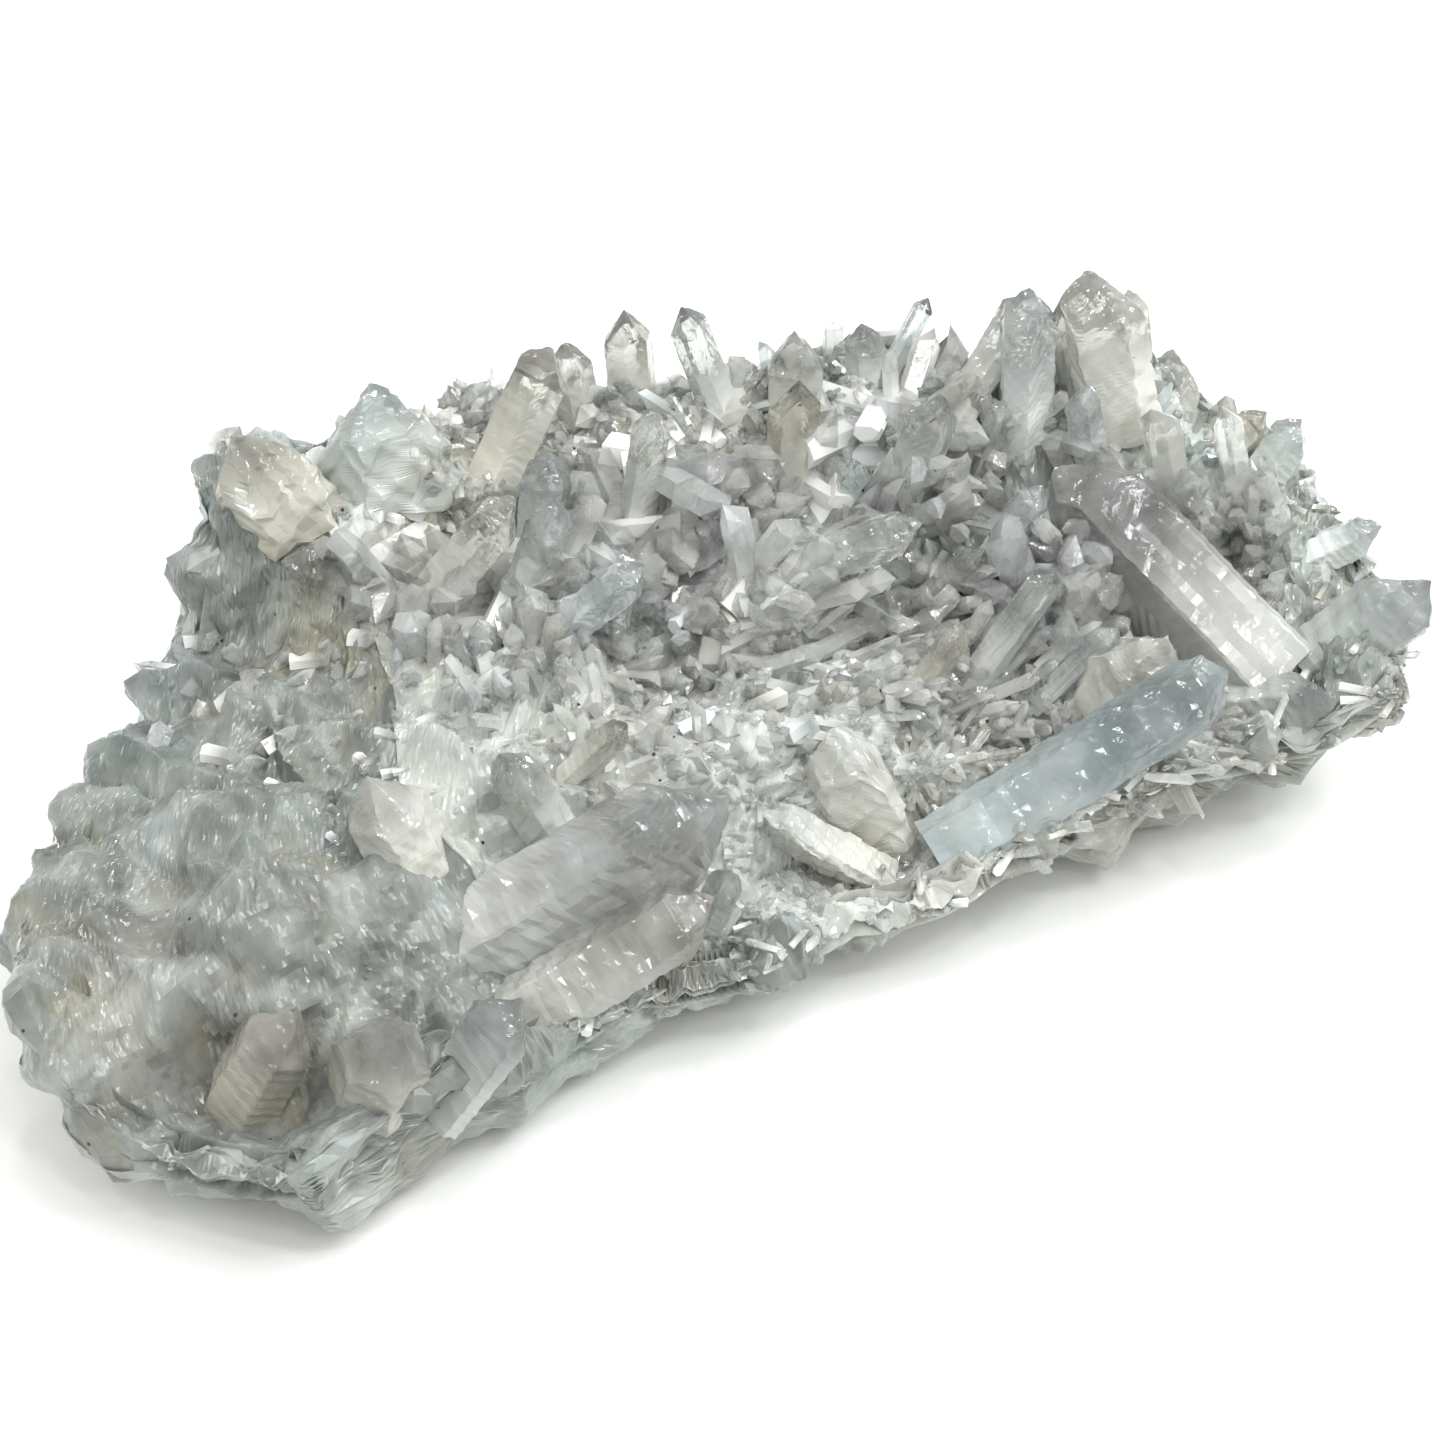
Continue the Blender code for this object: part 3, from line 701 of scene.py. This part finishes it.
def make_crystals():
    """Each row of the table as one closed piece. Crystals whose names begin alike share a finish, and each
    has a tint of its own."""
    finishes = {}
    tints = np.random.default_rng(21).uniform(0.1, 0.9, len(CRYSTALS))
    for number, (name, x, y, direction, lean, length, width, thickness) in enumerate(CRYSTALS):
        family = name.split("_")[0]
        clearness = CLEAREST.get(family, CLEAR)
        if family not in finishes:
            # rock crystal grown freely: glassy faces over a milky foot, with a little painted shade, olive
            # brown, round the foot
            cool, warm = TINTS.get(family, COLOURLESS)
            finishes[family] = quartz_finish(
                "rock_crystal_" + family, cool, warm, painted_shade=0.3, clearness=clearness,
                roughness=(0.01, 0.16), milk_most=0.3, milk_colour="#e6e9e8",
            )
        points, tip = crystal_surface(width, length, thickness, number)
        rings, columns = tip.shape
        placed = stand_up(points.reshape(-1, 3), x, y, direction, lean, width)
        placed = wander(placed, UNEVEN.get(family, EVEN) * width, WAVE_LENGTH * width)
        piece = add_piece(
            "grown_" + name,
            placed,
            tube_polygons(rings, columns),
            finishes[family],
            {"tip": tip.ravel(), "tint": np.full(tip.size, tints[number])},
        )
        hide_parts(name)


make_crystals()


# ---- The druse ---------------------------------------------------------------------------------------
# Thousands of small crystals cover the rock between the large ones: points in the middle and along the
# back, a fan of prisms on the far slope, short knobs along the rim, and grains on the terrace and the front
# edge. Each is a six-sided prism with its point, 13 corners in all, and every patch is one piece.

SIX = np.radians(60 * np.arange(6))
STAND = 0.5  # the weight of the rock's normal in the direction in which a small crystal grows
NEIGHBOURS = 12.0  # how far apart the groups are whose crystals lean the same way
DRUSE_SINK = 0.22  # the share of its length that a small crystal stands in the rock


def large_spans():
    """For each large crystal, its foot, its tip and its mean radius, which is the space that it keeps."""
    rows = []
    for name, x, y, direction, lean, length, width, thickness in CRYSTALS:
        ends = stand_up(np.array([[0.0, 0.0, 0.0], [0.0, 0.0, length]]), x, y, direction, lean, width)
        rows.append((*ends[0], *ends[1], width * (1 + thickness) / 4))
    return np.array(rows)


def inside_large(points, spare):
    """True where a point is in or beside a large crystal: nearer to its axis than its radius plus the
    spare, where the axis ends at its foot and its tip."""
    spans = large_spans()
    foot, top, radius = spans[:, :3], spans[:, 3:6], spans[:, 6]
    along = top - foot
    share = ((points[:, None] - foot) * along).sum(-1) / (along**2).sum(-1)
    near = foot + np.clip(share, 0, 1)[..., None] * along
    gap = np.linalg.norm(points[:, None] - near, axis=-1) - radius - spare
    return (gap < 0).any(1)


def plant(count, where, seed):
    """Spots on the rock: points of its top, drawn by the area round them times the density that where
    gives for their x, y and slope, each moved a little along the surface. Returns spots and normals."""
    chance = np.random.default_rng(seed)
    spots, normals = rock_top.reshape(-1, 3), rock_normals.reshape(-1, 3)
    along = np.linalg.norm(np.gradient(rock_top, axis=1), axis=-1)
    across = np.linalg.norm(np.gradient(rock_top, axis=0), axis=-1)
    weight = (along * across).ravel() * where(spots[:, 0], spots[:, 1], normals[:, 2])
    drawn = chance.choice(len(spots), count, p=weight / weight.sum())
    shift = chance.uniform(-0.7, 0.7, (count, 3))
    shift -= (shift * normals[drawn]).sum(1)[:, None] * normals[drawn]
    return spots[drawn] + shift, normals[drawn]


def unit(vectors):
    """The vectors divided by their lengths."""
    return vectors / np.maximum(np.linalg.norm(vectors, axis=-1, keepdims=True), 1e-9)


def druse_points(foot, axis, length, width, sunk, chance):
    """The 13 corners of each small crystal: six at its foot, six at its shoulder and its apex. The foot
    and the shoulder are squeezed rings whose corners are each a little out of place, the shoulder stands
    below the apex by about the height of a quartz point, and the apex is off the axis."""
    count = len(foot)
    side = unit(np.cross(axis, unit(chance.normal(size=(count, 3)))))
    other = np.cross(axis, side)
    squeeze = chance.uniform(0.55, 1.0, (count, 1, 1))
    ring = np.cos(SIX)[None, :, None] * side[:, None] + squeeze * np.sin(SIX)[None, :, None] * other[:, None]
    ring = ring * (width / 2)[:, None, None]
    uneven = chance.uniform(0.82, 1.15, (count, 6, 1))
    point_height = width * chance.uniform(0.3, 0.7, count)
    shoulder = np.maximum(length - point_height, 0.15 * length)[:, None]
    shoulder = shoulder + width[:, None] * chance.uniform(-0.18, 0.18, (count, 6))
    low = foot[:, None] + ring * uneven - axis[:, None] * sunk[:, None, None]
    taper = chance.uniform(0.88, 1.0, (count, 1, 1))
    high = foot[:, None] + ring * uneven * taper + axis[:, None] * shoulder[..., None]
    drift = (side * chance.normal(size=(count, 1)) + other * chance.normal(size=(count, 1))) * 0.2
    apex = foot + axis * length[:, None] + drift * width[:, None]
    return np.concatenate([low, high, apex[:, None]], 1)


def druse_polygons(count):
    """The sides, the faces of the point and the foot of each small crystal."""
    start = 13 * np.arange(count)[:, None, None]
    here = np.arange(6)
    beside = (here + 1) % 6
    sides = np.stack([here, beside, beside + 6, here + 6], 1)[None] + start
    faces = np.stack([here + 6, beside + 6, np.full(6, 12)], 1)[None] + start
    feet = here[::-1][None, None] + start
    return [sides.reshape(-1, 4), faces.reshape(-1, 3), feet.reshape(-1, 6)]


def nearest_grain(points, spacing, seed):
    """Which grain each point belongs to. Space is cut into cubes of the spacing, each with one scattered
    middle, and a point belongs to the nearest middle among its own cube and the 26 round it."""
    own = np.floor(points / spacing).astype(np.int64)
    nearest, grain = np.full(len(points), np.inf), own.copy()
    for step in np.ndindex(3, 3, 3):
        cube = own + np.array(step) - 1
        offset = points - (cube + cell_chances(cube, 3, seed)) * spacing
        distance = np.linalg.norm(offset, axis=1)
        grain = np.where((distance < nearest)[:, None], cube, grain)
        nearest = np.minimum(nearest, distance)
    return grain


def grow_druse(name, count, where, widths, slenderness, lean, spread, finish, seed):
    """One patch of small crystals. Their widths run between the two given, mostly near the smaller; their
    lengths are the widths times the slenderness; each stands along a mix of the rock's normal and the
    direction of lean, turned the same way as its near neighbours and then at random by spread."""
    chance = np.random.default_rng(seed)
    foot, normal = plant(count, where, seed)
    width = widths[0] + (widths[1] - widths[0]) * chance.uniform(0, 1, count) ** 2.2
    length = width * chance.uniform(slenderness[0], slenderness[1], count)
    shared = cell_chances(nearest_grain(foot, NEIGHBOURS, seed), 3, seed) * 2 - 1
    own_way = chance.normal(size=(count, 3)) * 0.6
    axis = unit(normal * STAND + np.array(lean) + (shared + own_way) * spread)
    axis[:, 2] = np.maximum(axis[:, 2], 0.05)
    axis = unit(axis)
    keep = ~inside_large(foot + axis * length[:, None] * 0.8, 0.3)
    foot, axis, length, width = foot[keep], axis[keep], length[keep], width[keep]
    foot = foot - axis * (DRUSE_SINK * length)[:, None]
    points = druse_points(foot, axis, length, width, width * 0.9 + length * 0.25, chance)
    share = np.concatenate([np.zeros(6), np.full(6, 0.7), [1.0]])
    own_tint = chance.uniform(0.0, 1.0, len(foot))
    columns = {"tip": np.tile(share, len(foot)), "tint": np.repeat(own_tint, 13)}
    return add_piece(name, points.reshape(-1, 3), druse_polygons(len(foot)), finish, columns)


# small points grown freely: the clear ones nearly colourless, those of the rim greyer, the milky ones white;
# each has a little painted shade, olive brown, at its foot
druse_clear = quartz_finish(
    "druse_quartz_clear", "#fdfffe", "#fbfbf5", painted_shade=0.22, clearness=0.87, roughness=(0.01, 0.1),
    milk_most=0.3, milk_colour="#f8f9f7",
)
druse_rim = quartz_finish(
    "druse_quartz_rim", "#c4d0ce", "#c8c5b8", painted_shade=0.2, clearness=0.8, roughness=(0.01, 0.15),
    milk_most=0.4, milk_colour="#dbdfdd",
)
druse_milky = quartz_finish(
    "druse_quartz_milky", "#e8efee", "#e9e7dd", painted_shade=0.2, clearness=0.78, roughness=(0.01, 0.15),
    milk_most=0.4, milk_colour="#eff1ee",
)

# where each patch grows is a density over the plan: of x, y and how far the rock there faces up, 0 to 1
grow_druse(
    "middle_points", 1000,
    lambda x, y, up: np.clip(up, 0, 1) * (blob(x, y, (10, 30), 50) + 0.08) * (x > -34) * (y < 50 - 0.25 * x),
    widths=(1.6, 7.5), slenderness=(1.2, 2.8), lean=(0.0, -0.3, 0.2), spread=0.65,
    finish=druse_clear, seed=31,
)
grow_druse(
    "middle_grains", 500,
    lambda x, y, up: np.clip(up, 0, 1) * (blob(x, y, (10, 25), 60) + 0.2) * (x > -40) * (y < 70),
    widths=(1.4, 5.5), slenderness=(0.7, 1.6), lean=(0.0, -0.3, 0.3), spread=0.8,
    finish=druse_milky, seed=39,
)
grow_druse(
    "slope_prisms", 560,
    lambda x, y, up: (y < 26) * (x < 86)
    * (blob(x, y, (55, -8), 30) + 0.5 * blob(x, y, (74, 2), 18)),
    widths=(1.8, 5.5), slenderness=(2.2, 4.2), lean=(0.35, -0.45, 0.2), spread=0.3,
    finish=druse_clear, seed=32,
)
grow_druse(
    "rim_knobs", 420,
    lambda x, y, up: (x > 84) * (0.5 + (y < 40)) * (up > 0.1) + 0.3 * (x > 60) * (y > 25),
    widths=(1.8, 6.0), slenderness=(0.6, 1.3), lean=(0.0, 0.0, 0.3), spread=0.6,
    finish=druse_rim, seed=33,
)
grow_druse(
    "great_flank_points", 240,
    lambda x, y, up: blob(x, y, (68, -8), 8) + 2.0 * blob(x, y, (71, -24), 7) + blob(x, y, (90, -20), 9),
    widths=(3.0, 8.0), slenderness=(1.3, 2.6), lean=(-0.1, -0.15, 0.8), spread=0.4,
    finish=druse_clear, seed=41,
)
grow_druse(
    "ridge_points", 900,
    lambda x, y, up: blob(x, y, (20, 64), 20) + blob(x, y, (-5, 66), 18) + blob(x, y, (58, 44), 22),
    widths=(2.0, 6.0), slenderness=(0.6, 1.4), lean=(0.0, -0.1, 0.4), spread=0.55,
    finish=druse_clear, seed=34,
)
grow_druse(
    "ridge_grains", 500,
    lambda x, y, up: (y > 40 - 0.2 * x) * (x > -24),
    widths=(1.4, 4.0), slenderness=(0.6, 1.3), lean=(0.0, 0.0, 0.2), spread=0.7,
    finish=druse_rim, seed=40,
)
grow_druse(
    "terrace_grains", 160,
    lambda x, y, up: (x < -25) * (x > -78) * (up > 0.6) * (0.15 + blob(x, y, (-50, 28), 28)),
    widths=(1.6, 5.0), slenderness=(0.4, 1.0), lean=(0.0, -0.15, 0.3), spread=0.6,
    finish=druse_clear, seed=35,
)
grow_druse(
    "white_band_grains", 350,
    lambda x, y, up: blob(x, y, (5, -12), 22) + blob(x, y, (22, -22), 16),
    widths=(1.8, 7.0), slenderness=(0.4, 0.9), lean=(0.1, -0.2, 0.35), spread=0.6,
    finish=druse_milky, seed=37,
)
grow_druse(
    "edge_grains", 90,
    lambda x, y, up: (x > -50) * (up > 0.3) * (0.15 + (up < 0.7)),
    widths=(1.5, 4.0), slenderness=(0.3, 0.6), lean=(0.0, 0.0, 0.2), spread=0.4,
    finish=druse_rim, seed=38,
)
